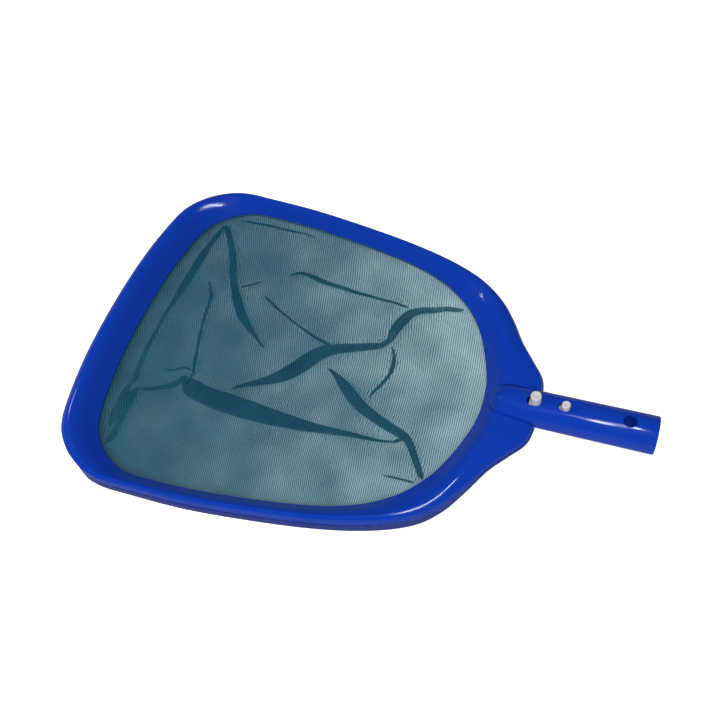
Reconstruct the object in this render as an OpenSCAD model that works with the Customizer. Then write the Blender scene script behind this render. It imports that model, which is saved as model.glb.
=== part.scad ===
// Leaf skimmer net: a two-part moulded rim clamps a mesh bag, and a tube handle with a
// spring clip slides into the end of a telescopic pole.
// Millimetres. +X runs along the handle to its open end, +Z is up, and the origin is at the
// bottom centre of the whole part.

/* [Rim] */
// Length from the scoop lip to the handle end of the flange
rim_length = 391; // [360:1:430]
// Width of the rim across its top edge
rim_width = 305; // [280:1:330]
// Height from the rim's underside to its outer top edge
rim_height = 16.2; // [16:0.1:18]
// Depth of the net's edge below the outer top edge
funnel_depth = 11.5; // [9:0.5:13]
// Wall thickness of both rim mouldings
shell_wall = 2.2; // [1.8:0.1:2.6]
// Thickness of the lower moulding's floor
floor_t = 2.8; // [2.4:0.1:3.2]
// Height of the crest behind the scoop lip, above the lip
lip_crest = 4; // [2:0.5:6]
// Height of the flange's edge beside the handle, above the rim's top edge
flange_rise = 3.5; // [2:0.5:5]

/* [Handle] */
// Outside diameter of the handle tube
tube_od = 28.6; // [26:0.1:30]
// Wall thickness of the handle tube
tube_wall = 2.5; // [2:0.1:3]
// Free length of the tube past the flange
tube_reach = 86; // [70:1:110]
// Length of the tube's domed end that lies in the flange
tube_root = 36; // [30:1:38]
// Upward tilt of the handle from the rim's plane, degrees
handle_tilt = 3.7; // [0:0.1:6]
// Height of the handle's axis above the rim's top edge, at the flange
handle_lift = 2.5; // [1:0.5:4]
// Diameter of the cross hole near the open end
cross_hole_d = 9.5; // [8:0.5:11]
// Distance of the cross hole from the open end
cross_hole_inset = 20; // [15:1:24]

/* [Spring clip] */
// Diameter of the release buttons
release_d = 8; // [7:0.5:9]
// Height of the release buttons above the tube
release_proud = 8.5; // [7:0.5:9]
// Diameter of the lock pins, for the 1/4 inch holes of a pole
lock_d = 6.3; // [6:0.1:6.4]
// Height of the lock pins above the tube
lock_proud = 4.8; // [4:0.2:5]
// Distance from the release buttons to the lock pins
lock_pitch = 22; // [20:1:24]
// Distance from the release buttons to the clip's bend
clip_reach = 55; // [53:1:56]
// Thickness of the clip's arms
arm_t = 1.4; // [1.2:0.1:1.6]
// Width of the clip's arms
arm_w = 10; // [9:0.5:10]

/* [Net] */
// Thickness given to the mesh bag's wall
mesh_t = 1.2; // [1:0.1:1.6]
// Depth of the collapsed bag's floor below the rim's outer top edge
bag_depth = 19.2; // [18:0.2:19.6]
// Diameter of the cord sewn into the hem
hem_cord_d = 1.8; // [1.4:0.1:1.8]

/* [Screws] */
// Shank diameter of the self-tapping screws
screw_d = 2.9; // [2.5:0.1:3]
// Head diameter of the screws
screw_head_d = 5.6; // [5:0.1:6]
// Head height of the screws
screw_head_h = 1.3; // [1.1:0.1:1.5]

/* [Hidden] */
$fn = 40;

eps = 0.01;
gap = 0.25;              // fit gap between the tube and the flange
tube_r = tube_od / 2;
bore_r = tube_r - tube_wall;

// Half outline of the rim's outer top edge, from the middle of the scoop lip round the far
// side to the handle, for the nominal length and width.
nominal_length = 391;
nominal_width = 305;
outer_edge = [
  [-239, 0], [-237, 50], [-231, 91], [-223, 119], [-209, 136], [-190, 147.5], [-168, 152.8],
  [-140, 151.8], [-90, 148], [-40, 141], [10, 132], [50, 121.5], [80, 109], [101, 93],
  [115, 75], [127, 56], [139, 41], [149, 28], [152, 14], [152, 0]
];
// The net's edge, with one point for each point of the outer edge.
inner_edge = [
  [-212, 0], [-210, 48], [-204, 86], [-197.5, 108], [-187, 122], [-172, 132.5], [-155, 138.5],
  [-132, 139], [-88, 135.5], [-40, 128.5], [8, 119], [42, 107.5], [66, 93], [82, 77],
  [92, 62], [99.5, 46], [104.5, 32], [108, 20], [109.5, 9], [110, 0]
];
steps = 2;                                  // stations between two outline points
half_count = (len(outer_edge) - 1) * steps;
count = 2 * half_count;

// Places along the row's X axis.
flange_end = 152 * rim_length / nominal_length;
release_x = flange_end - 1;
lock_x = release_x + lock_pitch;
bend_x = release_x + clip_reach;
tube_open = flange_end + tube_reach;
tube_blind = flange_end - tube_root + tube_r;   // centre of the domed end
cross_x = tube_open - cross_hole_inset;

// The lower release button's tip is the lowest point of the part.
stud_chamfer = 0.6;
tip_r = release_d / 2 - stud_chamfer;
axis_z = (tube_r + release_proud) * cos(handle_tilt)
  + (tip_r + flange_end - release_x) * sin(handle_tilt);
rim_z = axis_z - handle_lift;

// Clip arm geometry, in the tube's own frame.
pivot_z = 1.6;
pivot_r = 1.1;
pivot_w = arm_w + 1;
arm_end_x = release_x - 5;
arm_end_z = sqrt(pow(bore_r - 0.1, 2) - pow(arm_w / 2, 2)) - arm_t / 2;
arm_angle = atan((arm_end_z - pivot_z) / (bend_x - arm_end_x));
slot_play = 0.3;
release_travel = 2.7;    // how far each slot runs on towards the frame
lock_travel = 1.8;

seam_gap = 0.7;
skirt_gap = 0.1;
hem_t = 1.3;

function mix(a, b, t) = a + (b - a) * t;
function smooth(a, b, x) = let (t = min(1, max(0, (x - a) / (b - a)))) t * t * (3 - 2 * t);
function mirrored(p) = [p.x, -p.y];
function control(list, i) =
  i < 0 ? mirrored(list[-i]) :
  i >= len(list) ? mirrored(list[2 * len(list) - 2 - i]) : list[i];
function catmull(a, b, c, d, t) =
  (2 * b + (c - a) * t + (2 * a - 5 * b + 4 * c - d) * t * t
   + (3 * b - a - 3 * c + d) * t * t * t) / 2;
function along(list, u) =
  let (i = min(floor(u), len(list) - 2))
  catmull(control(list, i - 1), control(list, i), control(list, i + 1), control(list, i + 2), u - i);
function sized(p) = [p.x * rim_length / nominal_length, p.y * rim_width / nominal_width];
net_end_x = sized(inner_edge[len(inner_edge) - 1]).x;

// One station of the rim: [outer point, inner point, width, lip share, flange share]
function station_at(u) =
  let (a = along(outer_edge, u), b = along(inner_edge, u))
  [sized(a), sized(b), norm(sized(b) - sized(a)), 1 - smooth(-225, -178, a.x), smooth(85, 132, a.x)];
function station(i) =
  let (k = (i + count) % count, s = station_at((k <= half_count ? k : count - k) / steps))
  k <= half_count ? s : [mirrored(s[0]), mirrored(s[1]), s[2], s[3], s[4]];
// Point at distance d inwards from the outer edge and height z above the top edge's plane.
function place(s, d, z) =
  let (q = s[0] + (s[1] - s[0]) / s[2] * d) [q.x, q.y, rim_z + z];
// A value for the sides, blended to one for the lip and one for the flange.
function blend3(s, side, lip, flange) = mix(mix(side, lip, s[3]), flange, s[4]);

// Heights and distances that the sections share.
function edge_z(s) = flange_rise * s[4];
function crest_d(s) = blend3(s, 0.22 * s[2], 10, s[2] - 15);
function crest_z(s) = edge_z(s) + blend3(s, 1.2, lip_crest, 3);
function seam_d(s) = blend3(s, -1.8, 6, -1);
function seam_z(s) = blend3(s, -7, -3.2, 0);
function foot_d(s) = blend3(s, -4, 14, -2);
function foot_z(s) = blend3(s, -rim_height, -rim_height, -4);
skirt_z = -funnel_depth - 1.1;              // underside of the upper moulding's inner skirt
seat_z = skirt_z - skirt_gap * 2 - hem_t;   // top of the lower moulding's hem seat

function upper_section(s) =
  let (w = s[2], e = edge_z(s), cd = crest_d(s), cz = crest_z(s), t = shell_wall) [
    [seam_d(s), seam_z(s)],
    [mix(0.2 * seam_d(s), 0, s[3]), e - 1.8],
    [0.25, e - 0.6],
    [1, e],
    [0.6 * cd, cz - 0.4],
    [cd, cz],
    [mix(cd, w, 0.4), mix(cz, -funnel_depth, 0.3)],
    [w - 0.9, 0.7 - funnel_depth],
    [w, -funnel_depth],
    [w, skirt_z],
    [w - t, skirt_z],
    [w - t - 0.4, -funnel_depth],
    [mix(cd, w - t, 0.4), mix(cz - t, -funnel_depth - 1, 0.3)],
    [cd, cz - t - 0.1],
    [mix(t + 0.4, 7.5, s[3]), mix(e - t - 0.2, 0.2, s[3])],
    [seam_d(s) + t - 0.2, seam_z(s)]
  ];

function lower_section(s) =
  let (w = s[2], fd = foot_d(s), fz = foot_z(s), t = shell_wall) [
    [seam_d(s) + t - 0.7, seam_z(s) - seam_gap],
    [fd + t + 0.5, fz + floor_t],
    [w - 6.4, seat_z],
    [w - 0.4, seat_z],
    [w - 0.4, 0.6 - rim_height],
    [w - 1.2, -rim_height],
    [fd + 1, fz],
    [fd, fz + 0.8],
    [seam_d(s) - 0.5, seam_z(s) - seam_gap]
  ];

// The hem is a tape that runs out between the mouldings and loops round the cord.
loop_d = 4.4;
loop_r = hem_cord_d / 2 + 0.5;
loop_z = seat_z + loop_r + 0.05;
loop_sides = 8;
function ring_points(d, z, r, sides) =
  [for (k = [0 : sides - 1]) [d + r * cos(360 * k / sides), z - r * sin(360 * k / sides)]];
function hem_section(s) = concat(
  [[s[2] - 0.1, seat_z + hem_t], [s[2] - 0.1, seat_z + 0.05]],
  [for (k = [2 : loop_sides]) let (a = 360 * k / loop_sides)
    [s[2] - loop_d + loop_r * cos(a), loop_z - loop_r * sin(a)]]
);
function cord_section(s, r) = ring_points(s[2] - loop_d, loop_z, r, loop_sides);

// A closed ring with the same number of section points at every station.
module ring(sections) {
  k = len(sections[0]);
  n = len(sections);
  polyhedron(
    points = [for (section = sections) each section],
    faces = [for (i = [0 : n - 1], j = [0 : k - 1])
      let (a = i * k + j, b = i * k + (j + 1) % k,
           c = ((i + 1) % n) * k + (j + 1) % k, d = ((i + 1) % n) * k + j)
      each [[a, c, b], [a, d, c]]]
  );
}
// A run of the same section, closed at both ends.
module run(sections) {
  k = len(sections[0]);
  n = len(sections);
  polyhedron(
    points = [for (section = sections) each section],
    faces = concat(
      [[for (j = [0 : k - 1]) j]],
      [[for (j = [k - 1 : -1 : 0]) (n - 1) * k + j]],
      [for (i = [0 : n - 2], j = [0 : k - 1])
        let (a = i * k + j, b = i * k + (j + 1) % k,
             c = (i + 1) * k + (j + 1) % k, d = (i + 1) * k + j)
        each [[a, c, b], [a, d, c]]]
    )
  );
}
function placed(i, section) = [for (p = section) place(station(i), p.x, p.y)];

// Screw places: outline position and share of the way from the outer edge to the net.
rim_screw_at = [0, 2.6, 5, 7.5, 9.5, 11.6, 13.4];
boss_r = 2.4;
pad_r = 3.2;
lip_clear = 0.5;         // extra clearance under the bosses by the lip's sloping wall
function rim_screw_share(s) = mix(0.34, 0.69, s[3]);
function roof_z(s, d) =
  let (cd = crest_d(s), cz = crest_z(s))
  d < cd ? cz - 1 : mix(cz, -funnel_depth, (d - cd) / (s[2] - cd));
function floor_z(s, d) = mix(foot_z(s), -rim_height, max(0, (d - foot_d(s)) / (s[2] - foot_d(s))));

module at_rim_screws() {
  for (u = rim_screw_at, side = u == 0 ? [1] : [1, -1]) {
    s = station_at(u);
    d = s[2] * rim_screw_share(s);
    $boss_top = roof_z(s, d + boss_r) - 0.6;
    $boss_foot = floor_z(s, d);
    $boss_clear = 0.1 + max(lip_clear * s[3], abs(floor_z(s, d + boss_r) - floor_z(s, d - boss_r)));
    q = place(s, d, 0);
    translate([q.x, side * q.y, q.z]) children();
  }
}

// Screws through the handle's ears.
ear_x = [flange_end - 24, flange_end - 13];
ear_y = tube_r + 5.5;
ear_t = 3;
ear_drop = 2.2;          // the ears' middle below the tube's axis
ear_w = 11;
ear_edge = 4.5;          // from the screws to the ears' outer edges
module at_flange_screws() {
  for (x = ear_x, side = [1, -1]) {
    $ear_z = (x - flange_end) * sin(handle_tilt) - ear_drop;
    $boss_foot = mix(-4, -rim_height, (flange_end - x) / (flange_end - net_end_x)) - handle_lift;
    translate([x, side * ear_y, axis_z]) children();
  }
}

// The tube's frame: X along its axis, turned about the flange's end.
module on_handle() {
  translate([flange_end, 0, axis_z]) rotate([0, -handle_tilt, 0]) translate([-flange_end, 0, 0])
    children();
}
module rod(x0, x1, r) {
  translate([x0, 0, 0]) rotate([0, 90, 0]) cylinder(h = x1 - x0, r = r);
}
module tube_body(r, x1) {
  rod(tube_blind, x1, r);
  translate([tube_blind, 0, 0]) sphere(r = r, $fn = 64);
}

module upper_frame() {
  color([0.05, 0.2, 0.66]) difference() {
    union() {
      ring([for (i = [0 : count - 1]) placed(i, upper_section(station(i)))]);
      at_rim_screws()
        translate([0, 0, $boss_foot + floor_t + $boss_clear])
          cylinder(h = $boss_top - $boss_foot - floor_t - $boss_clear, r = boss_r);
      at_flange_screws()
        translate([0, 0, $ear_z + ear_t / 2 + 0.2]) cylinder(h = 0.4 - $ear_z, r = pad_r);
    }
    on_handle() tube_body(tube_r + gap, flange_end + 20);
    at_rim_screws()
      translate([0, 0, $boss_foot]) cylinder(h = $boss_top - $boss_foot - 1.2, r = screw_d / 2 + 0.05);
    at_flange_screws()
      translate([0, 0, $ear_z]) cylinder(h = 1.6 - $ear_z, r = screw_d / 2 + 0.05);
  }
}

module lower_frame() {
  color([0.06, 0.16, 0.5]) difference() {
    union() {
      ring([for (i = [0 : count - 1]) placed(i, lower_section(station(i)))]);
      at_flange_screws()
        translate([0, 0, $boss_foot + 0.2])
          cylinder(h = $ear_z - ear_t / 2 - 0.4 - $boss_foot, r = pad_r + 0.4);
    }
    on_handle() tube_body(tube_r + gap, flange_end + 20);
    at_rim_screws() {
      translate([0, 0, $boss_foot - 2]) cylinder(h = 20, r = screw_d / 2 + 0.05);
      translate([0, 0, $boss_foot - 2]) cylinder(h = 2 + screw_head_h + 0.1, r = screw_head_d / 2 + 0.2);
    }
    at_flange_screws() {
      translate([0, 0, $boss_foot - 2]) cylinder(h = 20, r = screw_d / 2 + 0.05);
      translate([0, 0, $boss_foot - 2]) cylinder(h = 2 + screw_head_h + 0.5, r = screw_head_d / 2 + 0.2);
    }
  }
}

module screw(length) {
  cylinder(h = length, r = screw_d / 2);
  difference() {
    cylinder(h = screw_head_h, r = screw_head_d / 2);
    for (a = [0, 90])
      rotate([0, 0, a]) translate([-screw_head_d / 3, -0.35, -eps]) cube([screw_head_d / 1.5, 0.7, 0.7]);
  }
}
module rim_screws() {
  color([0.75, 0.76, 0.78]) at_rim_screws()
    translate([0, 0, $boss_foot + 0.1]) screw($boss_top - $boss_foot - 1.8);
}
module flange_screws() {
  color([0.75, 0.76, 0.78]) at_flange_screws()
    translate([0, 0, $boss_foot + 0.5]) screw(0.8 - $boss_foot);
}

module net_hem() {
  color([0.05, 0.27, 0.35]) difference() {
    ring([for (i = [0 : count - 1]) placed(i, hem_section(station(i)))]);
    ring([for (i = [0 : count - 1]) placed(i, cord_section(station(i), hem_cord_d / 2 + 0.05))]);
  }
}
module hem_cord() {
  color([0.9, 0.92, 0.92])
    ring([for (i = [0 : count - 1]) placed(i, cord_section(station(i), hem_cord_d / 2))]);
}

// The bag, collapsed as it lies: a steep wall in panels, and a floor plate just under the rim.
wall_run = 6;            // from the net's edge to the foot of the bag's wall
plate_gap = 0.2;         // between the wall's foot and the floor plate
panel_span = 4;          // stations along one panel of the wall
panel_gap = 0.01;        // share of a station left open at each end of a panel
function bag_section(s) = [
  [s[2] + mesh_t, seat_z + hem_t], [s[2] + mesh_t + 1.2, seat_z - 1.8],
  [s[2] + wall_run + 1, mesh_t - bag_depth], [s[2] + wall_run, -bag_depth],
  [s[2] + 1.2, seat_z - 2.6], [s[2], seat_z], [s[2], seat_z + hem_t]
];
module net_bag() {
  foot = [for (i = [0 : count - 1]) each placed(i, [[station(i)[2] + wall_run + 1 + plate_gap, -bag_depth]])];
  color([0.33, 0.47, 0.5]) {
    for (first = [0 : panel_span : count - 1])
      run([for (i = [first + panel_gap, each [for (k = [1 : panel_span - 1]) first + k],
                     first + panel_span - panel_gap])
        placed(i, bag_section(station(i)))]);
    translate([0, 0, rim_z - bag_depth]) linear_extrude(mesh_t)
      polygon([for (q = foot) [q.x, q.y]]);
  }
}

// A slot with round ends through one wall, from its round centre back towards the frame.
module slot(x, d, travel) {
  r = d / 2 + slot_play;
  for (x1 = [x, x - travel]) translate([x1, 0, 0]) cylinder(h = tube_r + 2, r = r);
  translate([x - travel, -r, 0]) cube([travel, 2 * r, tube_r + 2]);
}
module handle_tube() {
  color([0.05, 0.2, 0.66]) on_handle() difference() {
    union() {
      tube_body(tube_r, tube_open);
      for (side = [1, -1])
        translate([ear_x[0] - ear_w / 2, side > 0 ? bore_r + 1 : -(ear_y + ear_edge), -ear_drop - ear_t / 2])
          cube([ear_x[1] - ear_x[0] + ear_w, ear_y + ear_edge - bore_r - 1, ear_t]);
    }
    tube_body(bore_r, tube_open + 1);
    for (up = [0, 180]) rotate([up, 0, 0]) {
      slot(release_x, release_d, release_travel);
      slot(lock_x, lock_d, lock_travel);
    }
    translate([cross_x, 0, -tube_r - 1]) cylinder(h = tube_od + 2, r = cross_hole_d / 2);
    for (x = ear_x, side = [1, -1])
      translate([x, side * ear_y, -8]) cylinder(h = 12, r = screw_d / 2 + 0.35);
  }
}

// The clip: its bend spans the bore, and each arm is sprung about the end of the bend.
module clip_bend() {
  outer = pivot_z + arm_t / 2;
  width = 2 * sqrt(pow(bore_r - 0.03, 2) - outer * outer);
  color([0.93, 0.93, 0.94]) on_handle() translate([bend_x, 0, 0]) difference() {
    union() {
      translate([1.4, width / 2, 0]) rotate([90, 0, 0]) cylinder(h = width, r = outer);
      translate([0, -width / 2, -outer]) cube([1.4, width, 2 * outer]);
    }
    translate([1.4, width / 2 + 1, 0]) rotate([90, 0, 0]) cylinder(h = width + 2, r = pivot_z - arm_t / 2);
    translate([-1, -width / 2 - 1, -pivot_z + arm_t / 2])
      cube([2.4, width + 2, 2 * pivot_z - arm_t]);
    for (side = [1, -1])
      translate([0, width / 2 + 1, side * pivot_z]) rotate([90, 0, 0])
        cylinder(h = width + 2, r = pivot_r + 0.06);
  }
}
// Upper side, or the lower side as its mirror image.
module clip_side(upper) {
  on_handle() mirror([0, 0, upper ? 0 : 1]) children();
}
arm_length = (bend_x - arm_end_x) / cos(arm_angle);
module arm_strip(t, w, extra) {
  translate([bend_x, 0, pivot_z]) rotate([0, arm_angle, 0])
    translate([-arm_length - extra, -w / 2, -t / 2]) cube([arm_length + extra, w, t]);
}
module clip_arm(upper) {
  color([0.93, 0.93, 0.94]) clip_side(upper) {
    arm_strip(arm_t, arm_w, 0);
    translate([bend_x, pivot_w / 2, pivot_z]) rotate([90, 0, 0]) cylinder(h = pivot_w, r = pivot_r);
  }
}
// A round stud that stands on the arm's outer face.
module stud(upper, x, d, proud) {
  color([0.93, 0.93, 0.94]) clip_side(upper) difference() {
    translate([x, 0, 0]) {
      cylinder(h = tube_r + proud - stud_chamfer, r = d / 2);
      translate([0, 0, tube_r + proud - stud_chamfer])
        cylinder(h = stud_chamfer, r1 = d / 2, r2 = d / 2 - stud_chamfer);
    }
    translate([0, 0, -20]) arm_strip(arm_t + 40, 20, 10);
  }
}
module clip_arm_upper() { clip_arm(true); }
module clip_arm_lower() { clip_arm(false); }
module release_button_upper() { stud(true, release_x, release_d, release_proud); }
module release_button_lower() { stud(false, release_x, release_d, release_proud); }
module lock_pin_upper() { stud(true, lock_x, lock_d, lock_proud); }
module lock_pin_lower() { stud(false, lock_x, lock_d, lock_proud); }

upper_frame();
lower_frame();
rim_screws();
flange_screws();
net_hem();
hem_cord();
net_bag();
handle_tube();
clip_bend();
clip_arm_upper();
clip_arm_lower();
release_button_upper();
release_button_lower();
lock_pin_upper();
lock_pin_lower();
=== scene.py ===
"""The looks of the leaf skimmer net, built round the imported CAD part.

Sizes are in millimetres and turned into metres where a mesh is made. The row frame has +X along
the handle, +Y across the rim and +Z up.
"""

import math

import bmesh
import bpy
import numpy as np
from mathutils import Matrix, Vector
from mathutils.geometry import delaunay_2d_cdt


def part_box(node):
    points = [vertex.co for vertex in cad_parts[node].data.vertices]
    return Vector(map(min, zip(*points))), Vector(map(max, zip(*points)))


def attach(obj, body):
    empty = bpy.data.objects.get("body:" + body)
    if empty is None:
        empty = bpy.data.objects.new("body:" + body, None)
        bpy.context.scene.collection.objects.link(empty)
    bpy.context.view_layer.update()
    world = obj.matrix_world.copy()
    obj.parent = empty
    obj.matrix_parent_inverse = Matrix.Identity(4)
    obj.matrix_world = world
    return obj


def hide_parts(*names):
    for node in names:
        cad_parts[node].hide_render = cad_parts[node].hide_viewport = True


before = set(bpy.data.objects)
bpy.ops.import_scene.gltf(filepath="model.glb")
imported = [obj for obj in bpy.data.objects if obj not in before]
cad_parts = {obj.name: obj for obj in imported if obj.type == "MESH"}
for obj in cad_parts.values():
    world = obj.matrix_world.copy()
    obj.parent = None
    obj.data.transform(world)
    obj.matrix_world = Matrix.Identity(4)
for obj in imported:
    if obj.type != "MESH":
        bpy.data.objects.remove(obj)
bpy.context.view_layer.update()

MM = 0.001
RIM_HEIGHT = 16.2
FUNNEL = 11.5
WALL = 2.2
FLOOR_T = 2.8
RIM_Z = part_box("lower_frame")[0].z / MM + RIM_HEIGHT
FLANGE_END = 152.0
TUBE_R = 14.3
BORE_R = 11.8
TUBE_OPEN = FLANGE_END + 86
TUBE_BLIND = FLANGE_END - 36 + TUBE_R
TILT = math.radians(3.7)
AXIS_Z = RIM_Z + 2.5
RELEASE_X = FLANGE_END - 1
LOCK_X = RELEASE_X + 22
CROSS_X = TUBE_OPEN - 20
CROSS_R = 4.75
SEAT_GAP = 0.45  # between the tube and the mouldings round it
RELEASE_R, RELEASE_PROUD = 4, 8.5
LOCK_R, LOCK_PROUD = 3.15, 4.8
RELEASE_BASE, LOCK_BASE = 9.1, 6.2  # where each stud meets its arm, from the tube's axis
RELEASE_TRAVEL, LOCK_TRAVEL = 2.7, 1.8  # along the tube, as the clip is squeezed
STUD_GAP = 0.3
PAST_TUBE = 3  # how far a cutter runs past the tube
MID_TUBE = 6  # a slot's cutter stops here, so that it cuts one wall only

# ---------------------------------------------------------------- rim outline
OUTER = [
    [-239, 0], [-237, 50], [-231, 91], [-223, 119], [-209, 136], [-190, 147.5], [-168, 152.8],
    [-140, 151.8], [-90, 148], [-40, 141], [10, 132], [50, 121.5], [80, 109], [101, 93],
    [115, 75], [127, 56], [139, 41], [149, 28], [152, 14], [152, 0],
]
INNER = [
    [-212, 0], [-210, 48], [-204, 86], [-197.5, 108], [-187, 122], [-172, 132.5], [-155, 138.5],
    [-132, 139], [-88, 135.5], [-40, 128.5], [8, 119], [42, 107.5], [66, 93], [82, 77],
    [92, 62], [99.5, 46], [104.5, 32], [108, 20], [109.5, 9], [110, 0],
]


def catmull(points, at):
    """A Catmull-Rom curve through points, at the places at, counted in points."""
    i = np.minimum(np.floor(at).astype(int), len(points) - 4)
    t = (at - i)[:, None]
    a, b, c, d = (points[i + k] for k in range(4))
    return (2 * b + (c - a) * t + (2 * a - 5 * b + 4 * c - d) * t**2
            + (3 * b - a - 3 * c + d) * t**3) / 2


def outline(half, at):
    """A closed outline from its half, mirrored in Y."""
    flip = np.array([1.0, -1.0])
    half = np.array(half, float)
    whole = np.vstack([half[1] * flip, half, half[-2] * flip])
    side = catmull(whole, at)
    return np.vstack([side, side[-2:0:-1] * flip])


def smooth(a, b, x):
    t = np.clip((x - a) / (b - a), 0, 1)
    return t * t * (3 - 2 * t)


def mix(a, b, t):
    return a + (b - a) * t


class Rim:
    """The rim's stations: outer and inner points, width, and the shares of lip and flange."""

    def __init__(self, per_span):
        at = np.linspace(0, len(OUTER) - 1, (len(OUTER) - 1) * per_span + 1)
        self.a, self.b = outline(OUTER, at), outline(INNER, at)
        self.w = np.linalg.norm(self.b - self.a, axis=1)
        self.lip = 1 - smooth(-225, -178, self.a[:, 0])
        self.flange = smooth(85, 132, self.a[:, 0])
        w, e = self.w, 3.5 * self.flange
        self.edge = e
        self.crest_d = self.blend(0.22 * w, 10, w - 15)
        self.crest_z = e + self.blend(1.2, 4, 3)
        self.seam_d, self.seam_z = self.blend(-1.8, 6, -1), self.blend(-7, -3.2, 0)
        self.foot_d, self.foot_z = self.blend(-4, 14, -2), self.blend(-RIM_HEIGHT, -RIM_HEIGHT, -4)

    def blend(self, side, lip, flange):
        return mix(mix(side, lip, self.lip), flange, self.flange)

    def place(self, d, z):
        """Points at distances d inwards from the outer edge and heights z above the top edge."""
        d, z = np.broadcast_arrays(d, z)
        inward = (self.b - self.a) / self.w[:, None]
        if d.ndim == 1:
            d, z = d[:, None], z[:, None]
        xy = self.a[:, None] + inward[:, None] * d[..., None]
        return np.concatenate([xy, (RIM_Z + z)[..., None]], axis=2)

    def section(self, corners):
        """Stations by corners by (d, z)."""
        full = np.ones_like(self.w)
        return np.stack([np.stack([full * d, full * z], -1) for d, z in corners], axis=1)


def rounded(section, reach, steps=4):
    """Closed section polygons with each corner rounded over its reach along both edges."""
    before, after = np.roll(section, 1, axis=1), np.roll(section, -1, axis=1)
    out = []
    for j in range(section.shape[1]):
        p = section[:, j]
        into, away = before[:, j] - p, after[:, j] - p
        li, la = (np.linalg.norm(v, axis=1)[:, None] + 1e-9 for v in (into, away))
        r = np.minimum(np.minimum(reach[j], 0.46 * li), 0.46 * la)
        start, end = p + into / li * r, p + away / la * r
        for t in np.linspace(0, 1, steps + 1):
            out.append((1 - t) ** 2 * start + 2 * t * (1 - t) * p + t * t * end)
    return np.stack(out, axis=1)


def object_of(name, points, faces, flat_above=None):
    mesh = bpy.data.meshes.new(name)
    mesh.from_pydata((np.asarray(points) * MM).tolist(), [], faces)
    mesh.validate()
    piece = bpy.data.objects.new(name, mesh)
    bpy.context.scene.collection.objects.link(piece)
    mesh.shade_smooth()
    if flat_above:
        mesh.set_sharp_from_angle(angle=math.radians(flat_above))
    return piece


def grid_faces(n, k, open_k=False):
    """Quads of n closed stations by k section points."""
    i, j = np.meshgrid(np.arange(n), np.arange(k - 1 if open_k else k), indexing="ij")
    i2, j2 = (i + 1) % n, (j + 1) % k
    q = np.stack([i * k + j, i * k + j2, i2 * k + j2, i2 * k + j], -1).reshape(-1, 4)
    return q[:, ::-1].tolist()


def ring(name, rim, section, reach, steps=4):
    """A closed ring with the section given, at every station of the rim."""
    dense = rounded(section, reach, steps)
    points = rim.place(dense[..., 0], dense[..., 1])
    n, k = points.shape[:2]
    return object_of(name, points.reshape(-1, 3), grid_faces(n, k), flat_above=40)


def place_on(piece, body, node):
    """A piece that rides on a body, and stands for a CAD node."""
    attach(piece, body)
    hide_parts(node)


def fix_normals(piece):
    b = bmesh.new()
    b.from_mesh(piece.data)
    bmesh.ops.remove_doubles(b, verts=b.verts, dist=1e-7)
    bmesh.ops.dissolve_degenerate(b, edges=b.edges, dist=1e-7)
    bmesh.ops.recalc_face_normals(b, faces=b.faces)
    b.to_mesh(piece.data)
    b.free()


def lathe(name, profile, segments, matrix):
    """A body of revolution about X from (x, r) points; points on the axis are merged."""
    profile = np.array(profile, float)
    angle = np.linspace(0, 2 * math.pi, segments, endpoint=False)
    points = np.stack([
        np.repeat(profile[None, :, 0], segments, 0),
        np.cos(angle)[:, None] * profile[None, :, 1],
        np.sin(angle)[:, None] * profile[None, :, 1],
    ], axis=-1)
    piece = object_of(name, points.reshape(-1, 3),
                      grid_faces(segments, len(profile), open_k=True))
    piece.data.transform(matrix)
    fix_normals(piece)
    return piece


def arc(x, r, radius, start, end, steps=8):
    """(x, r) points on an arc round (x, r), from angle start to end in degrees."""
    turn = np.radians(np.linspace(start, end, steps + 1))
    return [(x + radius * math.cos(t), r + radius * math.sin(t)) for t in turn]


def joined(name, pieces):
    """One object from several."""
    b = bmesh.new()
    for p in pieces:
        b.from_mesh(p.data)
        mesh = p.data
        bpy.data.objects.remove(p)
        bpy.data.meshes.remove(mesh)
    mesh = bpy.data.meshes.new(name)
    b.to_mesh(mesh)
    b.free()
    piece = bpy.data.objects.new(name, mesh)
    bpy.context.scene.collection.objects.link(piece)
    return piece


def cut(piece, cutter, flat_above=35):
    """Takes the cutter away from the piece, and deletes it."""
    change = piece.modifiers.new("cut", "BOOLEAN")
    change.object, change.operation, change.solver = cutter, "DIFFERENCE", "EXACT"
    dg = bpy.context.evaluated_depsgraph_get()
    mesh = bpy.data.meshes.new_from_object(piece.evaluated_get(dg))
    piece.modifiers.clear()
    old = piece.data
    piece.data = mesh
    mesh.name = piece.name
    bpy.data.meshes.remove(old)
    bpy.data.objects.remove(cutter)
    mesh.shade_smooth()
    mesh.set_sharp_from_angle(angle=math.radians(flat_above))


# The tube's own frame: X along its axis, turned about the flange's end.
ON_HANDLE = (Matrix.Translation(Vector((FLANGE_END, 0, AXIS_Z)) * MM)
             @ Matrix.Rotation(-TILT, 4, "Y")
             @ Matrix.Translation(Vector((-FLANGE_END, 0, 0)) * MM))


def capsule(name, r, x1):
    profile = arc(TUBE_BLIND, 0, r, 180, 90, 24) + [(x1, r), (x1, 0)]
    profile[0] = (TUBE_BLIND - r, 0)
    return lathe(name, profile, 96, ON_HANDLE)


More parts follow.
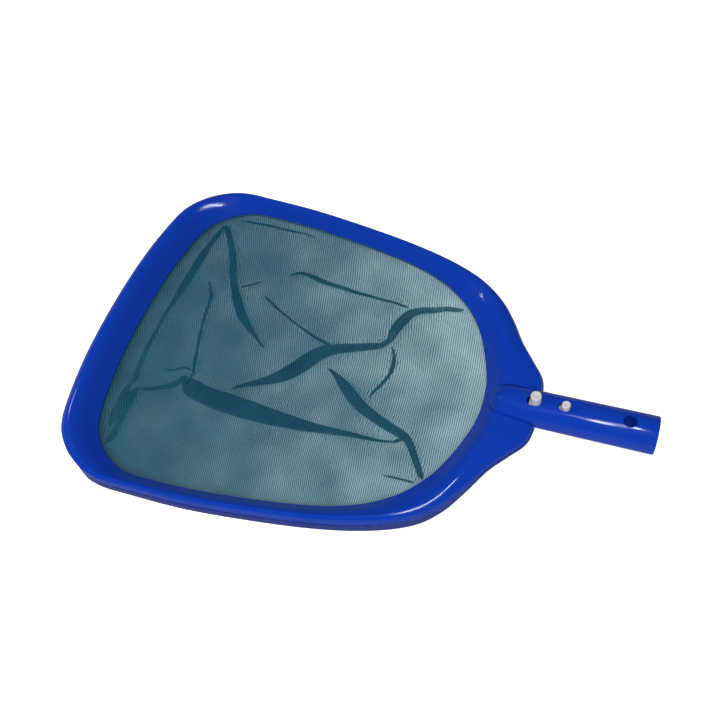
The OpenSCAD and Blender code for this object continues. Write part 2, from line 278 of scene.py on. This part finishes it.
# ---------------------------------------------------------------- rim mouldings
rim = Rim(10)
w, e, cd, cz = rim.w, rim.edge, rim.crest_d, rim.crest_z
SKIRT_Z = -FUNNEL - 1.1
SEAT_Z = SKIRT_Z - 0.2 - 1.3
upper = ring("rim_top", rim, rim.section([
    (rim.seam_d, rim.seam_z),
    (mix(0.2 * rim.seam_d, 0, rim.lip), e - 1.8),
    (0.25, e - 0.6),
    (1, e),
    (0.6 * cd, cz - 0.4),
    (cd, cz),
    (mix(cd, w, 0.4), mix(cz, -FUNNEL, 0.3)),
    (w - 0.9, 0.7 - FUNNEL),
    (w, -FUNNEL),
    (w, SKIRT_Z),
    (w - WALL, SKIRT_Z),
    (w - WALL - 0.4, -FUNNEL),
    (mix(cd, w - WALL, 0.4), mix(cz - WALL, -FUNNEL - 1, 0.3)),
    (cd, cz - WALL - 0.1),
    (mix(WALL + 0.4, 7.5, rim.lip), mix(e - WALL - 0.2, 0.2, rim.lip)),
    (rim.seam_d + WALL - 0.2, rim.seam_z),
]), [0.3, 1.0, 0.5, 1.2, 2.5, 3.0, 4.0, 0.8, 0.7, 0.2, 0.2, 0.4, 2.0, 1.5, 1.0, 0.2])
cut(upper, capsule("cut_tube", TUBE_R + SEAT_GAP, FLANGE_END + 20))

lower = ring("rim_base", rim, rim.section([
    (rim.seam_d + WALL - 0.7, rim.seam_z - 0.7),
    (rim.foot_d + WALL + 0.5, rim.foot_z + FLOOR_T),
    (w - 6.4, SEAT_Z),
    (w - 0.4, SEAT_Z),
    (w - 0.4, 0.6 - RIM_HEIGHT),
    (w - 1.2, -RIM_HEIGHT),
    (rim.foot_d + 1, rim.foot_z),
    (rim.foot_d, rim.foot_z + 0.8),
    (rim.seam_d - 0.5, rim.seam_z - 0.7),
]), [0.3, 0.8, 0.5, 0.3, 0.3, 0.5, 1.0, 1.0, 0.5])
cut(lower, capsule("cut_tube", TUBE_R + SEAT_GAP, FLANGE_END + 20))


def screw_holes(node, r, depth, shank_r):
    """Counterbores and shank holes where the screws of a CAD node stand."""
    co = np.array([v.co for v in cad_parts[node].data.vertices]) / MM
    todo, cutters = list(range(len(co))), []
    while todo:
        near = np.linalg.norm(co[todo][:, :2] - co[todo[0], :2], axis=1) < 2 * r
        group = co[np.array(todo)[near]]
        todo = [t for t, n in zip(todo, near) if not n]
        low = group[:, 2].min()
        centre = (group[:, :2].min(0) + group[:, :2].max(0)) / 2
        turn = Matrix.Translation(Vector((*centre, 0)) * MM) @ Matrix.Rotation(-math.pi / 2, 4, "Y")
        profile = [(low - 3, 0), (low - 3, r), (low + depth, r), (low + depth, shank_r),
                   (low + 20, shank_r), (low + 20, 0)]
        cutters.append(lathe("hole", profile, 40, turn))
    return cutters


holes = screw_holes("rim_screws", 3.0, 1.35, 1.5) + screw_holes("flange_screws", 3.0, 1.4, 1.5)
cut(lower, joined("cut_holes", holes))

# ---------------------------------------------------------------- handle
END = 0.9
profile = arc(TUBE_BLIND, 0, TUBE_R, 180, 90, 24) + arc(TUBE_OPEN - END, TUBE_R - END, END, 90, 0, 5)
profile += arc(TUBE_OPEN - 0.5, BORE_R + 0.5, 0.5, 0, -90, 3)
profile += arc(TUBE_BLIND, 0, BORE_R, 90, 180, 20)
profile[0], profile[-1] = (TUBE_BLIND - TUBE_R, 0), (TUBE_BLIND - BORE_R, 0)
handle = lathe("handle_moulding", profile, 128, ON_HANDLE)


def prism(name, loop, z0, z1, matrix):
    """A prism over a convex loop of (x, y), from z0 to z1."""
    n = len(loop)
    points = [(x, y, z) for z in (z0, z1) for x, y in loop]
    faces = [list(range(n))[::-1], [n + i for i in range(n)]]
    faces += [[i, (i + 1) % n, n + (i + 1) % n, n + i] for i in range(n)]
    piece = object_of(name, points, faces)
    piece.data.transform(matrix)
    fix_normals(piece)
    return piece


def stadium(x0, x1, r, steps=14):
    turn = np.linspace(-90, 90, steps + 1)
    right = [(x1 + r * math.cos(math.radians(t)), r * math.sin(math.radians(t))) for t in turn]
    left = [(x0 - r * math.cos(math.radians(t)), -r * math.sin(math.radians(t))) for t in turn]
    return right + left


cutters = []
top = TUBE_R + PAST_TUBE
for x, r, travel in ((RELEASE_X, RELEASE_R, RELEASE_TRAVEL), (LOCK_X, LOCK_R, LOCK_TRAVEL)):
    for z0, z1 in ((MID_TUBE, top), (-top, -MID_TUBE)):
        cutters.append(prism("slot", stadium(x - travel, x, r + STUD_GAP), z0, z1, ON_HANDLE))
cutters.append(prism("cross", stadium(CROSS_X, CROSS_X + 0.001, CROSS_R), -top, top, ON_HANDLE))
cut(handle, joined("cut_slots", cutters))
place_on(handle, "frame", "handle_tube")


def stud(name, body, node, x, r, proud, base, side):
    """A button or pin that stands on its arm, with a rounded rim and a faint gate mark on top."""
    top = TUBE_R + proud
    round_r = 0.9
    shape = [(base, 0), (base, r)] + arc(top - round_r, r - round_r, round_r, 90, 0, 6)
    shape += [(top, 0.32 * r), (top - 0.18, 0.27 * r), (top - 0.18, 0)]
    turn = (ON_HANDLE @ Matrix.Translation(Vector((x, 0, 0)) * MM)
            @ Matrix.Rotation(-side * math.pi / 2, 4, "Y"))
    piece = lathe(name, shape, 64, turn)
    piece.data.set_sharp_from_angle(angle=math.radians(50))
    place_on(piece, body, node)
    return piece


studs = [
    stud(f"{kind}_{end}", f"{end}_clip", f"{node}_{end}", x, r, proud, base, side)
    for kind, node, x, r, proud, base in (
        ("button", "release_button", RELEASE_X, RELEASE_R, RELEASE_PROUD, RELEASE_BASE),
        ("pin", "lock_pin", LOCK_X, LOCK_R, LOCK_PROUD, LOCK_BASE))
    for end, side in (("upper", 1), ("lower", -1))
]

place_on(upper, "frame", "upper_frame")
place_on(lower, "frame", "lower_frame")

# ---------------------------------------------------------------- hem and its cord
LOOP_D, CORD_R = 4.4, 0.9
LOOP_R = CORD_R + 0.5
LOOP_Z = SEAT_Z + LOOP_R + 0.05
turns = np.radians(np.arange(2, 9) * 45)
hem = ring("hem_tape", rim, rim.section(
    [(w - 0.1, SEAT_Z + 1.3), (w - 0.1, SEAT_Z + 0.05)]
    + [(w - LOOP_D + LOOP_R * math.cos(t), LOOP_Z - LOOP_R * math.sin(t)) for t in turns]
), [0.2, 0.2] + [0.5] * 7, 2)
cord = ring("hem_rope", rim, rim.section(
    [(w - LOOP_D + CORD_R * math.cos(t), LOOP_Z - CORD_R * math.sin(t))
     for t in np.radians(np.arange(8) * 45)]), [0.4] * 8, 2)
place_on(hem, "frame", "net_hem")
place_on(cord, "frame", "hem_cord")

# ---------------------------------------------------------------- net bag
# The folds that the collapsed bag lies in: (x, y, visible width) along each.
FOLDS = {
    "lip_far": [(-184, 124, 5), (-172, 108, 5.5), (-162, 93, 6), (-152, 73, 7), (-143, 57, 6.5),
                (-133, 42, 8.5), (-122, 28, 8.5), (-110, 18, 5.5), (-98, 9, 3), (-86, 0, 1.4)],
    "lip_spur": [(-138, 55, 2), (-128, 62, 1.8), (-118, 71, 0.8)],
    "lip_long": [(-184, 122, 4), (-188, 100, 5), (-190, 80, 7), (-191, 60, 7.5), (-192, 45, 7),
                 (-193, 30, 5), (-195, 10, 3.4), (-195, -10, 3.4), (-194, -30, 4), (-192, -50, 5),
                 (-189, -64, 6)],
    "lip_near": [(-184, -63, 5), (-184, -80, 5.5), (-184, -100, 6), (-184, -115, 6.5),
                 (-187, -128, 5)],
    "lip_double": [(-193, -60, 1), (-192.5, -72, 7), (-192, -84, 9), (-192, -96, 7),
                   (-191.5, -108, 2)],
    "crumple": [(-182, -66, 3), (-170, -62, 4), (-158, -56, 5), (-150, -50, 6), (-143, -47, 4)],
    "crease": [(-172, -43, 1), (-160, -39.5, 2), (-152, -35, 2), (-142, -36, 1)],
    "middle_thin": [(-172, 57, 1), (-165, 49, 2), (-160, 38, 2.6), (-157, 20, 2.6),
                    (-154, 5, 2.6), (-150, -10, 2.6), (-144, -30, 3), (-138, -42, 2)],
    "near_wide": [(-152, -43.5, 1.5), (-146, -46, 7), (-140, -49, 13), (-134, -52, 17),
                  (-120, -55.5, 17), (-100, -57, 18), (-80, -57.8, 17), (-60, -57.7, 15),
                  (-40, -57.2, 12.5), (-20, -56.7, 9.5), (0, -55.7, 6.5), (20, -54, 4.2),
                  (40, -51.8, 2.4), (60, -46.5, 1)],
    "handle_near": [(-26, -1, 1.5), (-15, -7, 5), (-5, -14, 9), (5, -21.5, 10.5), (15, -28, 10),
                    (28, -33.5, 9), (42, -38, 8.5), (56, -42, 7.5), (63, -47, 6), (70, -56.5, 5.5),
                    (78, -68, 5), (83, -77, 4)],
    "handle_tail": [(48, -79, 0.8), (65, -77.5, 1.7), (80, -77, 1)],
    "handle_far": [(75, 84, 3), (66, 83.5, 4), (56, 82, 4.5), (45, 77, 6), (35, 73.5, 6.5),
                   (27, 68, 8), (22, 58, 9.5), (19, 48, 8.5), (18, 40, 5.5), (12, 32, 5.5),
                   (0, 27, 7), (-12, 22, 8), (-24, 17, 9.5), (-36, 10, 13), (-46, 0, 15),
                   (-54, -10, 14), (-61, -18, 12), (-69, -25, 9), (-80, -32, 6), (-90, -38, 4),
                   (-100, -45, 2)],
    "handle_curl": [(20, 35, 2), (25, 28, 2.6), (28, 18, 4), (28, 8, 3.2), (25, -4, 3),
                    (20, -15, 2), (18, -21, 1.5)],
    "centre_thin": [(-112, 54, 1), (-100, 48, 2.6), (-85, 40, 1.7), (-70, 33, 1.7),
                    (-52, 26, 2.6), (-40, 22, 3.2), (-28, 19, 2)],
    "far_line": [(-97, 79, 1.5), (-88, 84.5, 3), (-78, 85, 4), (-65, 82, 5), (-50, 80, 4.2),
                 (-30, 79, 3.6), (-10, 78, 2.6), (10, 76.5, 2.3), (25, 75, 3)],
    "far_edge": [(-178, 126, 2), (-168, 130.5, 3), (-155, 132, 3), (-140, 132.5, 3),
                 (-120, 131.5, 2.6), (-100, 131, 1.8), (-85, 129, 0.8)],
}
BAND = 0.92  # a fold's visible width, as a share of half the width it is drawn in from
# Where rows of cloth points lie across a fold, as shares of its reach to either side.
ROWS = np.array([0, 0.1, 0.2, 0.3, 0.36, 0.42, 0.5, 0.62, 0.8, 1.0])
ROWS = np.concatenate([-ROWS[:0:-1], ROWS])


def resampled(points, step):
    """A smooth line through points, with samples about step apart."""
    p = np.array(points, float)
    ext = np.vstack([2 * p[0] - p[1], p, 2 * p[-1] - p[-2]])
    fine = catmull(ext, np.linspace(0, len(p) - 1, 40 * len(p)))
    along = np.concatenate([[0], np.cumsum(np.linalg.norm(np.diff(fine[:, :2], axis=0), axis=1))])
    at = np.linspace(0, along[-1], max(4, int(along[-1] / step)))
    return np.stack([np.interp(at, along, fine[:, k]) for k in range(3)], 1)


class Fold:
    """A Z-fold along a line: cloth from both sides is drawn in over it, in three layers."""

    def __init__(self, points):
        self.line = resampled(points, 1.5)
        xy = self.line[:, :2]
        tangent = np.gradient(xy, axis=0)
        tangent /= np.linalg.norm(tangent, axis=1)[:, None]
        self.normal = np.stack([-tangent[:, 1], tangent[:, 0]], 1)
        self.tangent = tangent
        width = np.maximum(self.line[:, 2], 0.1)
        ends = np.minimum(np.arange(len(xy)), np.arange(len(xy))[::-1]) * 1.5
        self.depth = 3.0 * smooth(0.0, 1.6, width) * smooth(-1.0, 5.0, ends)
        self.reach = np.maximum(width / BAND, 2.0)
        self.rise = 0.35 + 0.035 * width

    def rows(self):
        """Points of the flat cloth, in rows along the fold."""
        return np.concatenate([self.line[:, :2] + self.normal * (self.reach * q)[:, None]
                               for q in ROWS])

    def apply(self, p):
        """How the fold moves points p: (shift in XY, rise, share of the layers gone through)."""
        shift, rise, layer = np.zeros_like(p), np.zeros(len(p)), np.zeros(len(p))
        xy = self.line[:, :2]
        low, high = xy.min(0) - 24, xy.max(0) + 24
        near = np.nonzero(((p > low) & (p < high)).all(1))[0]
        for part in np.array_split(near, max(1, len(near) // 4000)):
            if not len(part):
                continue
            gap = p[part, None] - xy[None]
            k = (gap**2).sum(2).argmin(1)
            off = gap[np.arange(len(part)), k]
            s = (off * self.normal[k]).sum(1)
            t = (off * self.tangent[k]).sum(1)
            inside = ~(((k == 0) & (t < -0.8)) | ((k == len(xy) - 1) & (t > 0.8)))
            q = s / self.reach[k]
            inside &= np.abs(q) < 1
            a = self.depth[k] * inside
            q = np.clip(q, -1, 1)
            move = -a * self.reach[k] * q * (1 - q * q) ** 2
            shift[part] = self.normal[k] * move[:, None]
            up = smooth(-0.5, -0.2, q) + smooth(0.2, 0.5, q) - 2 * smooth(0.7, 1.0, q)
            rise[part] = self.rise[k] * up * a / 3
            layer[part] = np.clip(q, -1, 1) * a / 3
        return shift, rise, layer


folds = [Fold(f) for f in FOLDS.values()]
coarse = Rim(6)
inward = (coarse.b - coarse.a) / coarse.w[:, None]
# The cloth's edge, from under the rim down to the bag's floor: (how far in, height).
LEDGE = [(-1.2, SEAT_Z + 1.25), (0.1, SEAT_Z + 1.1), (0.9, SEAT_Z - 0.4), (2.2, SEAT_Z - 2.2),
         (4.0, SEAT_Z - 3.6), (6.5, SEAT_Z - 4.6)]
border = [coarse.b + inward * d for d, _ in LEDGE]


def inside_of(points, loop):
    """Whether points are inside a closed loop, and how far they are from it."""
    a, b = loop, np.roll(loop, -1, 0)
    inside, far = np.zeros(len(points), bool), np.full(len(points), 1e9)
    for p, q in zip(a, b):
        cross = (p[1] > points[:, 1]) != (q[1] > points[:, 1])
        rise = q[1] - p[1] if abs(q[1] - p[1]) > 1e-12 else 1e-12
        inside ^= cross & (points[:, 0] < (q[0] - p[0]) * (points[:, 1] - p[1]) / rise + p[0])
        d = q - p
        t = np.clip(((points - p) @ d) / max(d @ d, 1e-9), 0, 1)
        far = np.minimum(far, np.linalg.norm(points - p - t[:, None] * d, axis=1))
    return inside, far


PITCH = 2.7  # of the cloth's points, away from folds
xs = np.arange(-216, 116, PITCH)
ys = np.arange(-144, 145, PITCH * 0.866)
lattice = np.array([(x + (PITCH / 2 if n % 2 else 0), y) for n, y in enumerate(ys) for x in xs])
fine = np.concatenate([f.rows() for f in folds])
ok, far = inside_of(fine, border[0])
fine = fine[ok & (far > 0.8)]


def thin_out(points, cell):
    """Points with at most one in each square cell."""
    key = np.round(points / cell).astype(np.int64)
    _, first = np.unique(key[:, 0] * 100003 + key[:, 1], return_index=True)
    return points[np.sort(first)]


fine = thin_out(fine, 0.16)
ok, far = inside_of(lattice, border[-1])
lattice = lattice[ok & (far > 1.3)]
taken = {tuple(c) for c in np.round(fine / 1.6).astype(int)}
free = np.array([tuple(c) not in taken for c in np.round(lattice / 1.6).astype(int)])
lattice = lattice[free]
bands = np.concatenate(border[1:])
loop_n = len(border[0])
flat = np.concatenate([border[0], bands, fine, lattice])
edges = [(i, (i + 1) % loop_n) for i in range(loop_n)]
verts2, _, tris, *_ = delaunay_2d_cdt([Vector(p) for p in flat], edges, [], 1, 1e-5)
flat = np.array([tuple(v) for v in verts2])
within, far = inside_of(flat, coarse.b)
depth_in = np.where(within, far, -far)
ledge = np.array(LEDGE)
height = np.interp(depth_in, ledge[:, 0], ledge[:, 1])
open_share = smooth(4, 26, depth_in)


def waves(p, seed, scale, count=7):
    """A smooth uneven field from a few sine waves."""
    rng = np.random.default_rng(seed)
    out = np.zeros(len(p))
    for _ in range(count):
        turn, phase = rng.uniform(0, 2 * math.pi, 2)
        k = 2 * math.pi / (scale * rng.uniform(0.6, 1.5))
        out += np.sin((p[:, 0] * math.cos(turn) + p[:, 1] * math.sin(turn)) * k + phase)
    return out / math.sqrt(count)


height = height + open_share * (1.3 * (waves(flat, 3, 80) + 1.1) + 0.5 * waves(flat, 8, 34))
place, layers = flat.copy(), np.zeros(len(flat))
for fold in folds:
    shift, rise, layer = fold.apply(place)
    keep = smooth(0.5, 6, depth_in)
    place = place + shift * keep[:, None]
    height = height + rise * keep
    layers = layers + layer * keep
floor_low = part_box("net_bag")[0].z / MM
points = np.column_stack([place, np.maximum(RIM_Z + height, floor_low + 0.1)])
net = object_of("mesh_bag", points, [list(t) for t in tris])
# The weave follows the cloth, and the layers of a fold don't line up.
weave = net.data.attributes.new("weave", "FLOAT_VECTOR", "POINT")
lay = place + 0.3 * (flat - place)
weave.data.foreach_set("vector", np.column_stack([lay, layers]).astype(np.float32).ravel())
place_on(net, "frame", "net_bag")


# ---------------------------------------------------------------- materials
class Nodes:
    """Short calls for building a node tree."""

    def __init__(self, name):
        self.material = bpy.data.materials.new(name)
        self.material.use_nodes = True
        self.tree = self.material.node_tree
        self.tree.nodes.clear()
        self.out = self.add("ShaderNodeOutputMaterial")
        self.where = self.add("ShaderNodeTexCoord").outputs["Object"]

    def add(self, kind, **values):
        node = self.tree.nodes.new(kind)
        for key, value in values.items():
            setattr(node, key, value)
        return node

    def link(self, a, b):
        self.tree.links.new(a, b)

    def feed(self, socket, value):
        if hasattr(value, "is_output"):
            self.link(value, socket)
        else:
            socket.default_value = value

    def math(self, kind, *values):
        node = self.add("ShaderNodeMath", operation=kind)
        for socket, value in zip(node.inputs, values):
            self.feed(socket, value)
        return node.outputs[0]

    def noise(self, scale, detail=3, rough=0.55, at=None, stretch=None):
        at = at or self.where
        if stretch:
            mapped = self.add("ShaderNodeMapping")
            mapped.inputs["Scale"].default_value = stretch
            self.link(at, mapped.inputs["Vector"])
            at = mapped.outputs[0]
        node = self.add("ShaderNodeTexNoise")
        self.link(at, node.inputs["Vector"])
        for name, value in (("Scale", scale), ("Detail", detail), ("Roughness", rough)):
            node.inputs[name].default_value = value
        return node.outputs["Fac"]

    def span(self, value, low, high, to_low=0.0, to_high=1.0):
        node = self.add("ShaderNodeMapRange")
        node.clamp = True
        for socket, v in zip(node.inputs, (value, low, high, to_low, to_high)):
            self.feed(socket, v)
        return node.outputs[0]

    def colour(self, a, b, share):
        node = self.add("ShaderNodeMix", data_type="RGBA")
        self.feed(node.inputs["Factor"], share)
        for socket, value in ((node.inputs[6], a), (node.inputs[7], b)):
            self.feed(socket, value if hasattr(value, "is_output") else (*value, 1))
        return node.outputs[2]

    def bump(self, height, distance, strength=1.0, normal=None):
        node = self.add("ShaderNodeBump")
        node.inputs["Distance"].default_value = distance
        node.inputs["Strength"].default_value = strength
        self.link(height, node.inputs["Height"])
        if normal:
            self.link(normal, node.inputs["Normal"])
        return node.outputs[0]

    def shader(self, **values):
        node = self.add("ShaderNodeBsdfPrincipled")
        for name, value in values.items():
            self.feed(node.inputs[name.replace("_", " ")], value)
        return node.outputs[0]

    def finish(self, surface):
        self.link(surface, self.out.inputs["Surface"])
        return self.material


def moulded(name, base, dull, roughness=0.09, wear=0.01):
    """Glossy injection-moulded plastic: slight flow marks, fine orange peel, hairline scratches."""
    n = Nodes(name)
    flow = n.noise(9, 3, stretch=(1, 1, 3))
    cloud = n.noise(60, 2)
    scratch = n.noise(420, 2, 0.7, stretch=(1, 0.07, 1))
    lines = n.span(scratch, 0.69, 0.75)
    colour = n.colour(base, dull, n.span(flow, 0.35, 0.7, 0, 0.7))
    colour = n.colour(colour, [min(1, c * 1.5 + wear) for c in base], n.math("MULTIPLY", lines, 0.22))
    rough = n.math("ADD", n.span(cloud, 0.3, 0.7, roughness - 0.03, roughness + 0.05),
                   n.math("MULTIPLY", lines, 0.12))
    peel = n.bump(n.noise(900, 2), 0.00003, 0.5)
    normal = n.bump(lines, 0.00003, 0.4, peel)
    return n.finish(n.shader(Base_Color=colour, Roughness=rough, Normal=normal, IOR=1.49))


def nylon(name):
    n = Nodes(name)
    cloud, fine_ = n.noise(140, 3), n.noise(2400, 2)
    colour = n.colour((0.54, 0.54, 0.55), (0.48, 0.475, 0.47), n.span(cloud, 0.35, 0.7))
    normal = n.bump(fine_, 0.00002, 0.5)
    return n.finish(n.shader(Base_Color=colour, Roughness=n.span(cloud, 0.3, 0.7, 0.34, 0.46),
                             Normal=normal, Subsurface_Weight=0.15, Subsurface_Scale=0.002))


def steel(name):
    n = Nodes(name)
    brushed = n.noise(1500, 2, stretch=(1, 1, 0.1))
    colour = n.colour((0.55, 0.56, 0.58), (0.42, 0.43, 0.46), n.span(brushed, 0.3, 0.7))
    return n.finish(n.shader(Base_Color=colour, Metallic=1.0,
                             Roughness=n.span(brushed, 0.3, 0.7, 0.25, 0.45),
                             Normal=n.bump(brushed, 0.00003, 0.5)))


def tape(name, base, light, scale):
    """Woven tape or braided cord: two crossed bands of fine yarn."""
    n = Nodes(name)
    bands = []
    for turn in ((1, 1, 0), (1, -1, 0)):
        dot = n.add("ShaderNodeVectorMath", operation="DOT_PRODUCT")
        n.link(n.where, dot.inputs[0])
        dot.inputs[1].default_value = turn
        bands.append(n.math("SINE", n.math("MULTIPLY", dot.outputs["Value"], scale)))
    yarn = n.math("MULTIPLY", bands[0], bands[1])
    fuzz = n.noise(1800, 2)
    colour = n.colour(base, light, n.span(n.math("ADD", yarn, fuzz), -0.4, 1.4))
    return n.finish(n.shader(Base_Color=colour, Roughness=0.85,
                             Normal=n.bump(yarn, 0.0001, 0.8), Sheen_Weight=0.2))


def mesh_cloth(name):
    """Open mesh: rows of thick yarn one way, finer cross threads between them, and holes."""
    n = Nodes(name)
    read = n.add("ShaderNodeAttribute", attribute_name="weave")
    part = n.add("ShaderNodeSeparateXYZ")
    n.link(read.outputs["Vector"], part.inputs[0])
    x, y, layer = part.outputs
    # The rows run nearly along Y by the handle and slant towards the lip.
    slant = n.span(x, -190, 110, 0.38, 0.06)
    warp = n.math("ADD", x, n.math("MULTIPLY", y, slant))
    warp = n.math("ADD", warp, n.span(n.noise(11, 2), 0.25, 0.75, -2.2, 2.2))
    warp = n.math("ADD", warp, n.math("MULTIPLY", layer, 0.7))
    weft = n.math("SUBTRACT", y, n.math("MULTIPLY", x, slant))
    rows = n.math("PINGPONG", warp, 0.93)
    cross = n.math("PINGPONG", weft, 0.33)
    rib = n.span(rows, 0.24, 0.50, 1, 0)
    fine_ = n.span(cross, 0.10, 0.22, 0.82, 0.30)
    # Broad random patches where the mesh is more and less open: painted light and shade on the cloth.
    shade_patches = n.span(n.noise(20, 3), 0.3, 0.72, -0.10, 0.10)
    # The mesh is drawn more closed towards the lip and the near side, and more open towards the
    # handle and the far side.
    dense = n.math("ADD", n.span(x, -205, 90, 0.25, -0.17), n.span(y, -60, 110, 0.05, -0.05))
    solid = n.math("MAXIMUM", n.math("MULTIPLY", rib, 0.96), fine_)
    solid = n.math("ADD", n.math("ADD", solid, dense), shade_patches)
    solid = n.math("MINIMUM", n.math("MAXIMUM", solid, 0.05), 1.0)
    light = n.span(n.noise(30, 3), 0.35, 0.7)
    colour = n.colour((0.002, 0.064, 0.108), (0.004, 0.086, 0.140), light)
    colour = n.colour(colour, (0.05, 0.19, 0.24), n.math("MULTIPLY", rib, 0.18))
    thread = n.shader(Base_Color=colour, Roughness=0.45, Normal=n.bump(rib, 0.0002, 0.6),
                      Sheen_Weight=0.06)
    back = n.add("ShaderNodeBsdfTranslucent")
    n.link(colour, back.inputs["Color"])
    cloth = n.add("ShaderNodeMixShader")
    cloth.inputs[0].default_value = 0.25
    n.link(thread, cloth.inputs[1])
    n.link(back.outputs[0], cloth.inputs[2])
    clear = n.add("ShaderNodeBsdfTransparent")
    holes = n.add("ShaderNodeMixShader")
    n.link(solid, holes.inputs[0])
    n.link(clear.outputs[0], holes.inputs[1])
    n.link(cloth.outputs[0], holes.inputs[2])
    return n.finish(holes.outputs[0])


BLUE, BLUE_DULL = (0.0030, 0.034, 0.350), (0.0034, 0.036, 0.325)
# The lower moulding's blue is darker and more purple than the rim's: painted shade, as that moulding
# lies in shadow below the rim's edge.
SHADED_BLUE, SHADED_BLUE_DULL = (0.006, 0.022, 0.20), (0.008, 0.024, 0.18)
nylon_white, screw_steel = nylon("clip_nylon"), steel("screw_steel")
upper.data.materials.append(moulded("rim_blue", BLUE, BLUE_DULL))
# The lower moulding takes the darker blue: painted shade.
lower.data.materials.append(moulded("base_blue_painted_shade", SHADED_BLUE, SHADED_BLUE_DULL, 0.26))
handle.data.materials.append(moulded("handle_blue", BLUE, BLUE_DULL, 0.08))
net.data.materials.append(mesh_cloth("net_mesh"))
hem.data.materials.append(tape("hem_tape", (0.01, 0.09, 0.14), (0.03, 0.16, 0.22), 5200))
cord.data.materials.append(tape("hem_cord", (0.55, 0.57, 0.57), (0.75, 0.77, 0.77), 4200))
for piece in studs:
    piece.data.materials.append(nylon_white)
for name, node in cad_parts.items():
    if not node.hide_render:
        material = screw_steel if "screws" in name else nylon_white
        if node.material_slots:
            for slot in node.material_slots:
                slot.material = material
        else:
            node.data.materials.append(material)

# ---------------------------------------------------------------- stage, lights and camera
bpy.ops.mesh.primitive_plane_add(size=8, location=(0, 0, 0))
floor = bpy.context.object
floor.name = "floor"
n = Nodes("floor")
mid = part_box("net_bag")
centre, half = (mid[0] + mid[1]) / 2, (mid[1] - mid[0]) / 2
part = n.add("ShaderNodeSeparateXYZ")
n.link(n.where, part.inputs[0])
# The glow stops under the bag, which narrows towards the handle: there the floor is painted shade, a
# darker teal-grey with a dim teal glow, as if lit only through the net.
across = n.math("MULTIPLY", n.span(part.outputs[0], -0.110, 0.150, 1.0, 0.62), half.y)
u = n.math("DIVIDE", n.math("SUBTRACT", part.outputs[0], centre.x), half.x)
v = n.math("DIVIDE", n.math("SUBTRACT", part.outputs[1], centre.y), across)
reach = n.math("ADD", n.math("POWER", n.math("ABSOLUTE", u), 4.0),
               n.math("POWER", n.math("ABSOLUTE", v), 4.0))
pale = n.colour((0.84, 0.84, 0.84), (0.81, 0.81, 0.81), n.noise(3, 2))
outside = n.span(reach, 1.2, 1.45)
# Painted shade under the bag: a teal-grey floor colour and a teal glow in place of the white.
pale = n.colour((0.62, 0.78, 0.80), pale, outside)
painted_net_tint = n.colour((0.62, 0.97, 1.0), (1, 1, 1), outside)
glow = n.span(outside, 0, 1, 0.15, 0.62)
floor.data.materials.append(n.finish(n.shader(
    Base_Color=pale, Roughness=0.8, Emission_Color=painted_net_tint, Emission_Strength=glow)))
floor.visible_glossy = False

world = bpy.data.worlds.new("studio")
bpy.context.scene.world = world
world.use_nodes = True
# Above the floor the studio is dark, and what shines up from below is a dim white.
tree = world.node_tree
ray = tree.nodes.new("ShaderNodeTexCoord")
axes = tree.nodes.new("ShaderNodeSeparateXYZ")
dim = tree.nodes.new("ShaderNodeMapRange")
dim.inputs["From Min"].default_value, dim.inputs["From Max"].default_value = -0.08, 0.08
dim.inputs["To Min"].default_value, dim.inputs["To Max"].default_value = 0.24, 0.05
tree.links.new(ray.outputs["Generated"], axes.inputs[0])
tree.links.new(axes.outputs[2], dim.inputs["Value"])
tree.links.new(dim.outputs[0], tree.nodes["Background"].inputs[1])
tree.nodes["Background"].inputs[0].default_value = (1, 1, 1, 1)


def lamp(name, place, target, size, watts, seen=True):
    data = bpy.data.lights.new(name, "AREA")
    data.shape, data.size, data.size_y, data.energy = "RECTANGLE", size[0], size[1], watts
    lamp_ = bpy.data.objects.new(name, data)
    lamp_.location = place
    lamp_.rotation_mode = "QUATERNION"
    lamp_.rotation_quaternion = (Vector(target) - Vector(place)).to_track_quat("-Z", "Y")
    lamp_.visible_glossy = seen
    bpy.context.scene.collection.objects.link(lamp_)


lamp("soft", (0.15, -0.55, 1.25), (0.0, 0, 0), (0.6, 0.6), 16.5, seen=False)
lamp("left", (-0.95, -0.1, 0.85), (0, 0, 0), (0.5, 0.5), 5, seen=False)
lamp("window", (0.248, -0.30, 1.17), (0.248, 0, 0), (0.085, 0.42), 2.6)
lamp("window_2", (0.155, -0.30, 1.17), (0.155, 0, 0), (0.06, 0.28), 0.22)
lamp("strip", (-0.75, 0.05, 0.62), (-0.2, 0, 0), (0.05, 0.12), 0.25)

camera_data = bpy.data.cameras.new("camera")
camera_data.sensor_width, camera_data.lens = 36, 34
camera = bpy.data.objects.new("camera", camera_data)
rise, swing, roll = 1.05484715, 0.59085518, -0.28420695
back = Vector((math.sin(swing) * math.cos(rise), -math.cos(swing) * math.cos(rise),
               math.sin(rise)))
right = Vector((math.cos(swing), math.sin(swing), 0))
up = back.cross(right)
right_r = math.cos(roll) * right + math.sin(roll) * up
up_r = -math.sin(roll) * right + math.cos(roll) * up
EYE = Vector((160.0, -226.08, RIM_Z + 491.17)) * MM
camera.matrix_world = Matrix.Translation(EYE) @ Matrix((right_r, up_r, back)).transposed().to_4x4()
bpy.context.scene.collection.objects.link(camera)
bpy.context.scene.camera = camera
bpy.context.scene.view_settings.view_transform = "Standard"
